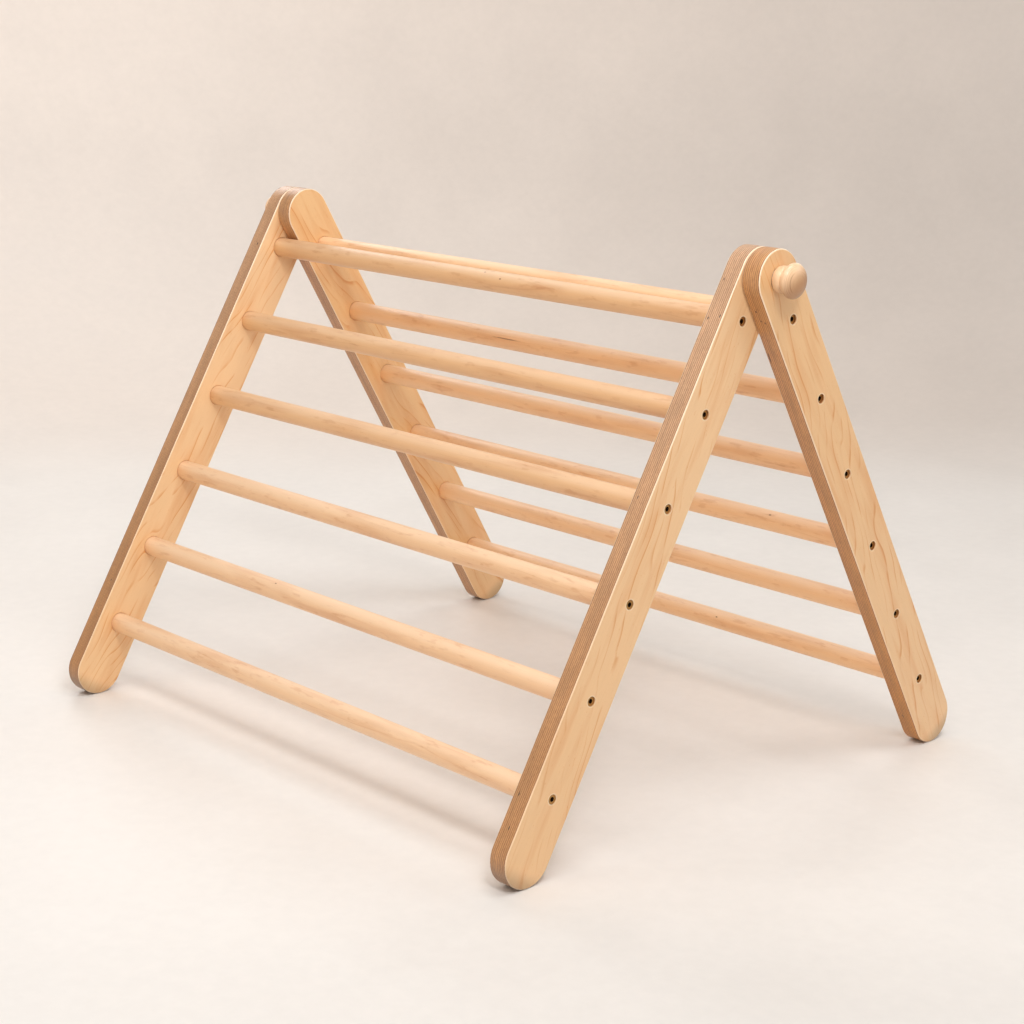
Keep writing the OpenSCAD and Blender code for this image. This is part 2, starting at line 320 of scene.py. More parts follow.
def figured_grain():
    """Wood grain in a solid block, in mm: X of Place runs along the grain and Y across the layers.

    Line is the thin dark end of each growth layer and the faint wash that leads up to it. The
    layers are told apart by the whole part of (Y + Slant x X + a slow wander + a ripple) / Line
    Gap. Each layer has a random strength and fades in and out along its length. Fibre is a fine
    lengthwise noise, Fleck a few short dashes, Blotch soft patches and Tone a broad noise in long
    bands.
    """
    tree, given, leaving = new_group(
        "figured_grain",
        [
            ("Place", "Vector", None),
            ("Seed", "Float", 0.0),
            ("Line Gap", "Float", 6.0),
            ("Line Width", "Float", 1.0),
            ("Wander", "Float", 6.0),
            ("Slant", "Float", 0.0),
        ],
        ["Line", "Fibre", "Fleck", "Blotch", "Tone"],
    )
    seed = put(tree, "ShaderNodeCombineXYZ", {
        axis: maths(tree, "MULTIPLY", given["Seed"], step) for axis, step in enumerate(SEED_STEPS)
    }).outputs[0]
    place = vector_maths(tree, "ADD", given["Place"], seed)
    spot = xyz(tree, place)
    along = xyz(tree, given["Place"])[0]
    sway = maths(tree, "MULTIPLY", noise(tree, place, (170, 50, 50), 1.0), given["Wander"])
    ripple = maths(tree, "MULTIPLY", noise(tree, place, (36, 12, 12), 0.0), RIPPLE)
    ripple = maths(tree, "MULTIPLY", ripple, given["Wander"])
    across = maths(tree, "MULTIPLY_ADD", along, given["Slant"], spot[1])
    across = maths(tree, "ADD", maths(tree, "ADD", across, sway), ripple)
    level = maths(tree, "DIVIDE", across, given["Line Gap"])
    step = maths(tree, "FRACT", level)
    random = random_for(tree, maths(tree, "FLOOR", level))
    to_end = maths(tree, "MULTIPLY", maths(tree, "SUBTRACT", 1.0, step), given["Line Gap"])
    rise = maths(tree, "DIVIDE", to_end, given["Line Width"])
    line = maths(
        tree, "MULTIPLY", ease(tree, rise, 0.25, 1.6, 1.0, 0.0), ease(tree, rise, 0.0, 0.25)
    )
    wash = ease(tree, rise, 0.0, 8.0, 0.22, 0.0)
    fade = ease(tree, noise(tree, place, (75, 14, 14), 1.0), 0.4, 0.62, 0.1, 1.0)
    fade = maths(tree, "MULTIPLY", fade, spread(tree, random, 0.35, 1.0))
    line = maths(tree, "MULTIPLY", maths(tree, "ADD", line, wash), fade)
    fibre = noise(tree, place, (22, 0.55, 0.55), 3.0, 0.6)
    fleck = ease(tree, noise(tree, place, (5.0, 1.1, 1.1), 1.0), 0.68, 0.78)
    blotch = ease(tree, noise(tree, place, (26, 6, 6), 2.0), 0.56, 0.7)
    tone = noise(tree, place, (150, 18, 18), 2.0)
    return give(tree, leaving, Line=line, Fibre=fibre, Fleck=fleck, Blotch=blotch, Tone=tone)


def ply_layers():
    """Layers of plywood, in mm: X of Place runs along the piece and Z through its thickness.

    Core is 1 inside the two face veneers. Dark is highest on every other ply, with a random step
    for each, and breaks up into dashes along the edge. Glue is 1 at the joint between two plies
    and at least UNDER_VENEER on the ply below a face veneer. Void is 1 in small lens-shaped gaps,
    and Tone is a broad noise.
    """
    tree, given, leaving = new_group(
        "ply_layers",
        [
            ("Place", "Vector", None),
            ("Seed", "Float", 0.0),
            ("Thickness", "Float", 27.0),
            ("Plies", "Float", 19.0),
        ],
        ["Core", "Dark", "Glue", "Void", "Tone"],
    )
    shift = put(tree, "ShaderNodeCombineXYZ", {
        0: maths(tree, "MULTIPLY", given["Seed"], PLY_SEED_STEP),
    }).outputs[0]
    place = vector_maths(tree, "ADD", given["Place"], shift)
    depth = xyz(tree, given["Place"])[2]
    wave = maths(tree, "SUBTRACT", noise(tree, place, (70, 300, 300), 2.0), 0.5)
    wave = maths(tree, "MULTIPLY", wave, 0.4)
    level = maths(tree, "ADD", maths(tree, "DIVIDE", depth, given["Thickness"]), 0.5)
    ply = maths(tree, "ADD", maths(tree, "MULTIPLY", level, given["Plies"]), wave)
    number = maths(tree, "FLOOR", ply)
    from_face = maths(tree, "MINIMUM", number, maths(
        tree, "SUBTRACT", maths(tree, "SUBTRACT", given["Plies"], 1.0), number
    ))
    core = maths(tree, "GREATER_THAN", from_face, 0.5)
    random = random_for(
        tree, maths(tree, "MULTIPLY_ADD", given["Seed"], PLY_RANDOM_STEP, number)
    )
    cross = maths(tree, "MODULO", number, 2.0)
    dashes = noise(tree, place, (4.5, 40, 0.9), 2.0, 0.7)
    dots = noise(tree, place, (0.8, 0.8, 0.5), 1.0)
    dark = maths(tree, "MULTIPLY_ADD", cross, 0.5, maths(tree, "MULTIPLY", random, 0.26))
    dark = maths(tree, "ADD", dark, spread(tree, dashes, -0.3, 0.25, *NOISE_RANGE))
    dark = maths(tree, "ADD", dark, spread(tree, dots, -0.12, 0.12, *NOISE_RANGE))
    middle = maths(tree, "ABSOLUTE", maths(tree, "SUBTRACT", maths(tree, "FRACT", ply), 0.5))
    outer = maths(tree, "LESS_THAN", from_face, 1.5)
    outer = maths(tree, "MULTIPLY", outer, UNDER_VENEER)
    glue = maths(tree, "MAXIMUM", ease(tree, middle, 0.3, 0.5), outer)
    in_cells = vector_maths(tree, "MULTIPLY", place, tuple(1 / length for length in VOID_CELL))
    cells = put(tree, "ShaderNodeTexVoronoi", {"Vector": in_cells, "Scale": 1.0}).outputs
    chance = xyz(tree, cells["Color"])[0]
    size = spread(tree, chance, 0.0, VOID_SIZE, VOID_CHANCE, 1.0)
    void = ease(tree, maths(tree, "SUBTRACT", size, cells["Distance"]), 0.0, 0.02)
    tone = noise(tree, place, (40, 60, 9), 2.0)
    return give(tree, leaving, Core=core, Dark=dark, Glue=glue, Void=void, Tone=tone)


def rung_row():
    """Distance in mm from the nearest axis of a row of rungs, on a stringer's own Place.

    The axes are at First + k x Pitch for whole k from 0 to Last, and Radius is the distance in
    the plane of X and Y.
    """
    tree, given, leaving = new_group(
        "rung_row",
        [
            ("Place", "Vector", None),
            ("First", "Float", 59.0),
            ("Pitch", "Float", 121.0),
            ("Last", "Float", 5.0),
        ],
        ["Radius"],
    )
    spot = xyz(tree, given["Place"])
    from_first = maths(tree, "SUBTRACT", spot[0], given["First"])
    number = maths(tree, "ROUND", maths(tree, "DIVIDE", from_first, given["Pitch"]))
    number = maths(tree, "MINIMUM", maths(tree, "MAXIMUM", number, 0.0), given["Last"])
    away = maths(tree, "SUBTRACT", from_first, maths(tree, "MULTIPLY", number, given["Pitch"]))
    square = maths(tree, "MULTIPLY_ADD", away, away, maths(tree, "MULTIPLY", spot[1], spot[1]))
    return give(tree, leaving, Radius=maths(tree, "SQRT", square))


def outline_distance():
    """Distance in mm from the middle line of a round-ended bar that runs from X = 0 to Length."""
    tree, given, leaving = new_group(
        "outline_distance", [("Place", "Vector", None), ("Length", "Float", 738.0)], ["Distance"]
    )
    spot = xyz(tree, given["Place"])
    clamped = maths(tree, "MINIMUM", maths(tree, "MAXIMUM", spot[0], 0.0), given["Length"])
    past = maths(tree, "SUBTRACT", spot[0], clamped)
    square = maths(tree, "MULTIPLY_ADD", past, past, maths(tree, "MULTIPLY", spot[1], spot[1]))
    return give(tree, leaving, Distance=maths(tree, "SQRT", square))


def mark():
    """A small oval mark such as a pin knot or a void: 1 at its middle, 0 past its ragged edge."""
    tree, given, leaving = new_group(
        "mark",
        [("Place", "Vector", None), ("Centre", "Vector", None), ("Size", "Vector", (1, 1, 1))],
        ["Mark"],
    )
    away = vector_maths(tree, "SUBTRACT", given["Place"], given["Centre"])
    away = vector_maths(tree, "DIVIDE", away, given["Size"])
    far = put(tree, "ShaderNodeVectorMath", {0: away}, operation="LENGTH").outputs["Value"]
    ragged = maths(tree, "MULTIPLY", noise(tree, given["Place"], (1.5, 0.8, 0.8), 2.0), 0.7)
    edge = ease(tree, maths(tree, "ADD", far, ragged), 0.75, 1.3, 1.0, 0.0)
    return give(tree, leaving, Mark=edge)


def new_material(name):
    """A material with an empty graph and a Principled shader joined to its output."""
    material = bpy.data.materials.new(name)
    material.use_nodes = True
    tree = material.node_tree
    tree.nodes.clear()
    surface = tree.nodes.new("ShaderNodeBsdfPrincipled")
    output = tree.nodes.new("ShaderNodeOutputMaterial")
    tree.links.new(surface.outputs[0], output.inputs["Surface"])
    return material, tree, surface


def local_place(tree, origin, along, through):
    """The point in mm from origin, with X along the piece's length and Z through its thickness."""
    along, through = Vector(along).normalized(), Vector(through).normalized()
    axes = Matrix((along, through.cross(along), through)).transposed()
    sockets = {
        "Vector": put(tree, "ShaderNodeTexCoord").outputs["Object"],
        "Location": tuple(origin),
        "Rotation": tuple(axes.to_euler()),
        "Scale": (MM, MM, MM),
    }
    return put(tree, "ShaderNodeMapping", sockets, vector_type="TEXTURE").outputs[0]


def finish_surface(tree, surface, base, roughness, height, bump_mm, lacquer=0.0, gloss=0.3):
    """Joins colour, roughness and a bump under a lacquer. A height of 1 stands bump_mm proud."""
    surface.inputs["Coat Weight"].default_value = lacquer
    surface.inputs["Coat Roughness"].default_value = gloss
    sockets = {"Height": height, "Strength": 1.0, "Distance": bump_mm * MM}
    bump = put(tree, "ShaderNodeBump", sockets)
    tree.links.new(base, surface.inputs["Base Color"])
    tree.links.new(roughness, surface.inputs["Roughness"])
    tree.links.new(bump.outputs[0], surface.inputs["Normal"])


def marks_at(tree, place, marks):
    """The strongest of several marks, each given as its centre and size in mm."""
    total = None
    for centre, size in marks:
        spot = use_group(tree, mark, Place=place, Centre=centre, Size=size)["Mark"]
        total = spot if total is None else maths(tree, "MAXIMUM", total, spot)
    return total


def wear_material(node, material):
    """Puts one material on a CAD node's object."""
    slots = frame["nodes"][node].data.materials
    slots.clear()
    slots.append(material)


# ---- meshes -------------------------------------------------------------------


def ring_quads(rows, count):
    """Quads between neighbouring rings of count points each, whose points are numbered in rows."""
    ring, step = np.meshgrid(np.arange(rows - 1), np.arange(count), indexing="ij")
    after = (step + 1) % count
    corners = [ring * count + step, ring * count + after,
               (ring + 1) * count + after, (ring + 1) * count + step]
    return np.stack(corners, axis=-1).reshape(-1, 4)


def new_piece(name, points, faces, smooth):
    """Makes and links an object. Smooth says for each face whether it is shaded round."""
    mesh = bpy.data.meshes.new(name)
    mesh.from_pydata(points.tolist(), [], faces)
    mesh.polygons.foreach_set("use_smooth", smooth)
    mesh.update()
    piece = bpy.data.objects.new(name, mesh)
    bpy.context.scene.collection.objects.link(piece)
    return piece


# ---- stringers ----------------------------------------------------------------

# Lightness of each board, and its warmth at the pivot and at the foot: for its faces, its edges. Partly painted
# light: set board by board for the light, shade and sheen that each is seen in, besides the wood's own tone.
BOARDS = {
    "front_left_stringer": ((1.06, -0.4, 0.0), (1.07, -0.1, 1.3)),
    "front_right_stringer": ((1.015, -0.35, 0.1), (1.09, -0.8, 1.0)),
    "rear_left_stringer": ((1.07, 0.4, 0.3), (1.16, 0.8, 1.0)),
    "rear_right_stringer": ((1.02, 0.15, -0.05), (1.25, 1.0, 2.0)),
}

# Voids and dark specks in the sawn edges: centre and size in mm on a stringer's own place.
STRINGER_MARKS = {
    "front_right_stringer": (
        ((22.7, -36.0, -7.3), (2.2, 2.0, 0.9)), ((73.5, -36.0, -7.8), (2.8, 2.0, 1.3)),
        ((68.7, -36.0, 8.5), (3.2, 2.0, 1.4)), ((303.0, -36.0, -5.3), (3.0, 2.0, 0.9)),
        ((672.5, -36.0, -5.2), (3.2, 2.0, 1.2)), ((712.3, -36.0, 0.0), (4.0, 2.0, 1.4)),
    ),
    "rear_right_stringer": (
        ((24.6, -36.0, -4.3), (2.2, 2.0, 1.2)), ((38.0, -36.0, -1.5), (1.8, 2.0, 1.0)),
        ((40.0, -36.0, 4.0), (1.8, 2.0, 1.0)), ((94.0, -36.0, -9.5), (11.0, 2.0, 1.2)),
        ((707.9, -36.0, -2.9), (4.0, 2.0, 1.2)),
    ),
    "front_left_stringer": (
        ((71.5, -36.0, 4.3), (3.0, 2.0, 1.2)), ((612.0, -36.0, 2.0), (3.0, 2.0, 1.2)),
    ),
}

ARRIS_HIGHLIGHT_BAND = (1.8, 0.7)         # mm inside the outline where the painted highlight along the rounded edge starts and is full
SINK_RADIUS = 6.25         # of a screw's countersink in a face
SINK_HIGHLIGHT_RING = (6.5, 8.0)     # of the painted highlight ring round it, from full to none
FACE_SHIFT = 400.0         # mm between the veneers of a board's two faces in the figured block
VENEER_SLANT = 0.17        # of the figure against the board
VOID_DEPTH = 10.0          # of a void, where a ridge of the edge stands 1 high
DOWN_START = 40.0          # mm below the pivot where a board's warmth starts to change
DOWN_END = 0.98            # and where it ends, as a share of the way to the foot's centre
FOOT_SHADE_START = 0.3          # where the painted shade at the foot starts: below the foot's centre, as a share of half the board's width
FOOT_SHADE_TONE = 0.6           # tone of the painted shade at the very end


def from_pivot(node):
    """Distance in mm of a node's middle from the pivot, along its stringers."""
    low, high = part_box(node)
    middle = 0.5 * (low + high)
    return math.hypot(middle.y - PIVOT.y, middle.z - PIVOT.z) / MM


def stringer_place(tree, node, side):
    """The point in mm: X down the stringer from the pivot, Y across it, Z through it."""
    low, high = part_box(node)
    origin = (0.5 * (low.x + high.x), PIVOT.y, PIVOT.z)
    return local_place(tree, origin, (0.0, side * math.sin(TILT), -math.cos(TILT)), (1, 0, 0))


def rung_radius(tree, place):
    first = from_pivot("front_rung_1")
    pitch = from_pivot("front_rung_2") - first
    last = float(len(RUNGS) // 2 - 1)
    return use_group(tree, rung_row, Place=place, First=first, Pitch=pitch, Last=last)["Radius"]


def stringer_material(node, side, seed):
    """Plywood: figured veneer on both faces, with the layers showing wherever it is cut.

    Down goes from 0 near the pivot to 1 near the foot, and the board's warmth changes along it, partly as painted
    shade and sheen. The end that stands on the floor is darkened with painted shade, and the rounded edge of each
    face and a ring round each countersink are lightened as painted highlights.
    """
    look = looks().stringer
    low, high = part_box(node)
    thickness = (high.x - low.x) / MM
    half_width = (high.z - PIVOT.z) / MM
    length = (PIVOT.z / MM - half_width) / math.cos(TILT)
    material, tree, surface = new_material(f"{node}_plywood")
    place = stringer_place(tree, node, side)
    depth = xyz(tree, place)[2]
    face_side = maths(tree, "SIGN", depth)
    other_face = put(tree, "ShaderNodeCombineXYZ", {
        1: maths(tree, "MULTIPLY", face_side, FACE_SHIFT),
    }).outputs[0]
    grain = use_group(
        tree, figured_grain, Place=vector_maths(tree, "ADD", place, other_face), Seed=seed,
        Line_Gap=look.grain_gap, Line_Width=1.9, Wander=64.0,
        Slant=VENEER_SLANT * side * (-1) ** int(seed),
    )
    plies = use_group(
        tree, ply_layers, Place=place, Seed=seed, Thickness=thickness, Plies=float(look.ply_count)
    )
    outline = use_group(tree, outline_distance, Place=place, Length=length)["Distance"]
    # Painted highlight: a band along the rounded edge of each face is lightened.
    arris = ease(tree, outline, half_width - ARRIS_HIGHLIGHT_BAND[0], half_width - ARRIS_HIGHLIGHT_BAND[1])
    along = xyz(tree, place)[0]
    down = ease(tree, along, DOWN_START, DOWN_END * length)
    foot_end = length + half_width
    # Painted shade where the foot stands on the floor: the board darkens over its last stretch.
    foot_shade = ease(tree, along, length + FOOT_SHADE_START * half_width, foot_end, 1.0, FOOT_SHADE_TONE)
    # Board lightness and the warmth along the board are partly painted light, shade and sheen.
    (face_light, *face_warmth), (edge_light, *edge_warmth) = BOARDS[node]
    radius = rung_radius(tree, place)

    streak = maths(tree, "ADD", grain["Line"], maths(tree, "MULTIPLY", grain["Fleck"], 0.5))
    band = spread(tree, grain["Tone"], -0.25, 0.35, *TONE_RANGE)
    veneer = blend_colours(tree, maths(tree, "ADD", streak, band), look.veneer, look.veneer_line)
    veneer = toned(tree, veneer, spread(tree, grain["Fibre"], 0.97, 1.03, *NOISE_RANGE), face_light)
    veneer = warmed(tree, veneer, spread(tree, down, *face_warmth))
    # The painted highlight fades toward the foot.
    faded_arris_highlight = maths(tree, "MULTIPLY", arris, spread(tree, down, 0.85, 0.4))
    veneer = blend_colours(tree, faded_arris_highlight, veneer, look.arris)
    # Painted highlight: a pale ring round each screw's countersink.
    ring = maths(tree, "MULTIPLY", ease(tree, radius, *SINK_HIGHLIGHT_RING, 1.0, 0.0),
                 maths(tree, "GREATER_THAN", radius, SINK_RADIUS))
    veneer = blend_colours(tree, maths(tree, "MULTIPLY", ring, 0.6), veneer, look.arris)

    dark = maths(tree, "ADD", plies["Dark"], maths(tree, "MULTIPLY", plies["Glue"], 0.25))
    layer = blend_colours(tree, dark, look.ply_light, look.ply_dark)
    layer = toned(tree, layer, spread(tree, plies["Tone"], 0.9, 1.1, *NOISE_RANGE), edge_light)
    layer = warmed(tree, layer, spread(tree, down, *edge_warmth))
    base = blend_colours(tree, plies["Core"], veneer, layer)
    # Voids: painted shade inside the gaps of the edge, and the wood's own dark in pin knots.
    void = plies["Void"]
    if node in STRINGER_MARKS:
        void = maths(tree, "MAXIMUM", void, marks_at(tree, place, STRINGER_MARKS[node]))
    void = maths(tree, "MULTIPLY", void, plies["Core"])
    base = toned(tree, blend_colours(tree, void, base, look.void), foot_shade)

    roughness = spread(tree, plies["Core"], 0.4, 0.55)
    uneven = spread(tree, grain["Fibre"], -0.04, 0.04, *NOISE_RANGE)
    roughness = maths(tree, "ADD", roughness, uneven)
    ridges = maths(tree, "MULTIPLY", plies["Dark"], plies["Core"])
    height = maths(tree, "ADD", maths(tree, "MULTIPLY", grain["Fibre"], 0.3), ridges)
    height = maths(tree, "SUBTRACT", height, maths(tree, "MULTIPLY", void, VOID_DEPTH))
    finish_surface(tree, surface, base, roughness, height, 0.025, lacquer=0.8, gloss=0.42)
    return material


class FinishStringers(bpy.types.Operator):
    """Finish the four plywood stringers"""

    bl_idname = "climbing.finish_stringers"
    bl_label = "Finish Stringers"

    def execute(self, context):
        for count, (node, side) in enumerate(STRINGERS.items()):
            wear_material(node, stringer_material(node, side, STRINGER_SEED + count))
        return {"FINISHED"}


# ---- rungs --------------------------------------------------------------------

# Lightness and warmth of the rungs of each frame, from the top rung down. Partly painted light: the rear rungs are
# lighter for the light they lack, and the lower front rungs paler for the sheen on them.
RUNG_TONES = {
    "front": ((0.99, 0.35), (1.0, 0.3), (1.01, 0.15), (1.05, -0.45), (1.06, -0.6), (1.06, -0.6)),
    "rear": ((1.14, 0.1), (1.12, 0.2), (1.13, 0.1), (1.17, 0.1), (1.17, 0.0), (1.17, 0.0)),
}

# Pin knots and one streak: mm along from the middle, degrees round from +Y to +Z, size in mm.
RUNG_MARKS = {
    "front_rung_1": ((20.0, 120.0, (2.6, 1.4, 1.4)), (54.3, 150.0, (2.8, 1.6, 1.6))),
    "rear_rung_2": ((-88.0, 165.0, (34.0, 1.1, 1.1)), (262.0, 140.0, (3.0, 1.4, 1.4))),
    "rear_rung_4": ((299.3, 131.6, (3.0, 1.6, 1.6)),),
    "front_rung_5": ((-130.0, 120.0, (2.6, 1.3, 1.3)),),
    "rear_rung_6": ((110.0, 150.0, (2.6, 1.3, 1.3)),),
}

RUNG_TURN = 2.4                # radians from the grain of one rung to that of the next
LACQUER_IOR = 1.8              # of the rungs' coat
TOP_SHEEN_RANGE = (0.1, 0.8)        # of a rung's radius above its axis: where the painted sheen on top starts and is full
TOP_SHEEN_LIGHT = (1.05, 0.975)     # times the lightness, on the underside and on the painted sheen on top
TOP_SHEEN_WARMTH = (0.35, -0.55)    # added to the warmth there: painted shade below, painted sheen on top


def rung_material(node, seed):
    """Turned hardwood with lengthwise grain, laid at a turn of its own about the rung.

    Its upper side is painted paler and cooler than its underside: a painted sheen on top and painted shade below.
    """
    look = looks().rung
    side, number = node.split("_rung_")
    lightness, warmth = RUNG_TONES[side][int(number) - 1]
    low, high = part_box(node)
    turn = RUNG_TURN * seed
    material, tree, surface = new_material(f"{node}_hardwood")
    through = (0.0, math.cos(turn), math.sin(turn))
    place = local_place(tree, 0.5 * (low + high), (1, 0, 0), through)
    grain = use_group(
        tree, figured_grain, Place=place, Seed=seed, Line_Gap=look.grain_gap, Line_Width=0.7,
        Wander=16.0, Slant=0.008 * math.sin(seed),
    )
    streak = maths(tree, "ADD", maths(tree, "MULTIPLY", grain["Line"], 0.4),
                   maths(tree, "MULTIPLY", grain["Fleck"], 0.35))
    streak = maths(tree, "ADD", streak, maths(tree, "MULTIPLY", grain["Blotch"], 0.4))
    band = spread(tree, grain["Tone"], -0.35, 0.45, *TONE_RANGE)
    base = blend_colours(tree, maths(tree, "ADD", streak, band), look.ground, look.line)
    fibre = spread(tree, grain["Fibre"], 0.97, 1.035, *NOISE_RANGE)
    # Painted light: each rung's upper side is paler and cooler, a painted sheen, and its underside browner,
    # painted shade.
    upright = local_place(tree, 0.5 * (low + high), (1, 0, 0), (0, 0, 1))
    height = xyz(tree, upright)[2]
    half = 0.5 * (high.z - low.z) / MM
    top_sheen = ease(tree, height, *(share * half for share in TOP_SHEEN_RANGE))
    base = toned(
        tree, base, fibre, spread(tree, top_sheen, *(share * lightness for share in TOP_SHEEN_LIGHT))
    )
    base = warmed(tree, base, spread(tree, top_sheen, *(warmth + more for more in TOP_SHEEN_WARMTH)))
    if node in RUNG_MARKS:
        spots = [
            ((x, half * math.sin(turn - math.radians(round_at)),
              half * math.cos(turn - math.radians(round_at))), size)
            for x, round_at, size in RUNG_MARKS[node]
        ]
        base = blend_colours(tree, marks_at(tree, place, spots), base, look.knot)
    roughness = spread(tree, grain["Fibre"], 0.48, 0.58, *NOISE_RANGE)
    surface.inputs["Coat IOR"].default_value = LACQUER_IOR
    finish_surface(tree, surface, base, roughness, grain["Fibre"], 0.015, lacquer=1.0, gloss=0.55)
    return material


class FinishRungs(bpy.types.Operator):
    """Finish the rungs of both frames"""

    bl_idname = "climbing.finish_rungs"
    bl_label = "Finish Rungs"

    def execute(self, context):
        for count, node in enumerate(RUNGS):
            wear_material(node, rung_material(node, RUNG_SEED + count))
        return {"FINISHED"}


# ---- knobs --------------------------------------------------------------------

# Height above the seat and radius, in mm, at points of a knob's side: a barrel-shaped collar, a
# groove, a bead, a cove and the widest point of the head. The domed end is an ellipse.
KNOB_SIDE = np.array([
    (0.0, 14.6), (0.5, 15.6), (1.6, 16.3), (4.0, 16.7), (7.0, 16.6), (9.4, 15.9), (10.4, 15.2),
    (11.1, 14.5), (11.8, 14.8), (12.6, 16.0), (13.6, 16.8), (14.5, 16.8), (15.1, 16.5),
    (15.6, 17.0), (16.4, 18.5), (17.6, 20.2), (19.0, 21.3), (20.4, 21.6),
])
KNOB_DOME = 10.6           # height of the dome above the widest point
KNOB_STEER = (1.6, 0.0)    # from the widest point to one past it, which steers the curve's end
KNOB_ALONG, KNOB_THROUGH = (0.04, 0.1, 1.0), (0.0, 1.0, -0.1)  # the lie of a knob's grain
SHADE_SIDE = (-0.6, 0.7, 0.4)  # where its dark heartwood and painted shade lie: below, to the right and behind
SHADE_RANGE = (3.0, 25.0)      # mm that way from the seat where it starts and is full
CURVE_STEPS, DOME_STEPS = 8, 40


def knob_profile():
    """Heights and radii of a knob's outline, from its seat round to the middle of its dome.

    The side is a smooth curve through KNOB_SIDE, a Catmull-Rom spline on the points' own count:
    half of 2 p1 + (p2 - p0) t + (2 p0 - 5 p1 + 4 p2 - p3) t^2 + (3 p1 - p0 - 3 p2 + p3) t^3.
    An added point at each end steers it. The dome is radius x cos a and top + dome x sin a, for
    a from 0 to a right angle.
    """
    ends = np.vstack([2 * KNOB_SIDE[0] - KNOB_SIDE[1], KNOB_SIDE, KNOB_SIDE[-1] + KNOB_STEER])
    t = np.linspace(0, 1, CURVE_STEPS, endpoint=False)[None, :, None]
    p0, p1, p2, p3 = (ends[k:k + len(KNOB_SIDE) - 1, None, :] for k in range(4))
    side = 0.5 * (
        2 * p1 + (p2 - p0) * t + (2 * p0 - 5 * p1 + 4 * p2 - p3) * t**2
        + (3 * p1 - p0 - 3 * p2 + p3) * t**3
    ).reshape(-1, 2)
    a = np.linspace(0, math.pi / 2, DOME_STEPS)[:-1]
    top, widest = KNOB_SIDE[-1]
    dome = np.column_stack([top + KNOB_DOME * np.sin(a), widest * np.cos(a)])
    return np.vstack([side, dome])


def turned_knob(name, seat, outward, profile, count):
    """A closed surface of revolution about X: the point at turn v is (h, r cos v, r sin v).

    The profile's first ring is closed by a flat disc on the seat, and its last by the middle of
    the dome.
    """
    turns = np.linspace(0, 2 * math.pi, count, endpoint=False)
    h, r = profile[:, 0, None] * MM, profile[:, 1, None] * MM
    rings = np.stack([
        np.broadcast_to(outward * h, (len(profile), count)),
        r * np.cos(turns), r * np.sin(turns) * outward,
    ], axis=-1).reshape(-1, 3)
    tip = (KNOB_SIDE[-1, 0] + KNOB_DOME) * MM
    points = np.vstack([rings, [[0, 0, 0], [outward * tip, 0, 0]]]) + np.array(seat)
    quads = ring_quads(len(profile), count)
    v = np.arange(count)
    after = (v + 1) % count
    last = (len(profile) - 1) * count
    seat_fan = np.stack([np.full(count, len(rings)), after, v], axis=-1)
    tip_fan = np.stack([np.full(count, len(rings) + 1), last + v, last + after], axis=-1)
    faces = quads.tolist() + seat_fan.tolist() + tip_fan.tolist()
    smooth = np.ones(len(faces), bool)
    smooth[len(quads):len(quads) + count] = False
    return new_piece(name, points, faces, smooth)


def knob_material(name, centre, seed):
    """Turned hardwood whose growth layers lie square to the knob's axis, so they show as rings."""
    look = looks().knob
    material, tree, surface = new_material(name)
    place = local_place(tree, centre, KNOB_ALONG, KNOB_THROUGH)
    grain = use_group(
        tree, figured_grain, Place=place, Seed=seed, Line_Gap=1.45, Line_Width=0.4, Wander=4.0
    )
    # Heartwood and painted shade: the knob turns darker below, to the right and behind.
    heartwood_shade = ease(tree, dot(tree, place, SHADE_SIDE), *SHADE_RANGE)
    ground = blend_colours(tree, heartwood_shade, look.sapwood, look.heartwood)
    streak = maths(tree, "MULTIPLY", grain["Line"], spread(tree, heartwood_shade, 0.45, 0.85))
    band = spread(tree, grain["Tone"], -0.05, 0.15, *TONE_RANGE)
    base = blend_colours(tree, maths(tree, "ADD", streak, band), ground, look.line)
    base = toned(tree, base, spread(tree, grain["Fibre"], 0.985, 1.015, *NOISE_RANGE))
    roughness = spread(tree, grain["Fibre"], 0.34, 0.42, *NOISE_RANGE)
    finish_surface(tree, surface, base, roughness, grain["Line"], 0.01, lacquer=0.45, gloss=0.16)
    return material


class TurnKnobs(bpy.types.Operator):
    """Turn the two clamping knobs"""

    bl_idname = "climbing.turn_knobs"
    bl_label = "Turn Knobs"

    def execute(self, context):
        profile = knob_profile()
        for count, (side, outward) in enumerate((("left", -1), ("right", 1))):
            low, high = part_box(f"{side}_knob")
            seat = (high.x if outward < 0 else low.x, PIVOT.y, PIVOT.z)
            knob = turned_knob(f"{side}_turned_knob", seat, outward, profile, looks().knob.rings)
            hardwood = knob_material(f"{side}_knob_hardwood", seat, KNOB_SEED + count)
            knob.data.materials.append(hardwood)
            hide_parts(f"{side}_knob")
            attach(knob, f"{side}_knob_turner")
        return {"FINISHED"}


# ---- metal --------------------------------------------------------------------

RECESS_SHADE_RING = (2.6, 3.3)   # radii in mm where the painted shade of a driver recess ends, full and none
SCREW_ROUGHNESS, ZINC_ROUGHNESS = 0.36, 0.34


def metal_coat(tree, place, tint, roughness):
    """Colour and roughness of an uneven plating with faint scratches, and the scratches."""
    patina = noise(tree, place, (3.0, 3.0, 3.0), 3.0)
    scratch = noise(tree, place, (6.0, 0.25, 0.25), 2.0)
    base = toned(tree, tuple(tint), spread(tree, patina, 0.8, 1.12, *NOISE_RANGE))
    return base, spread(tree, patina, roughness - 0.07, roughness + 0.09, *NOISE_RANGE), scratch


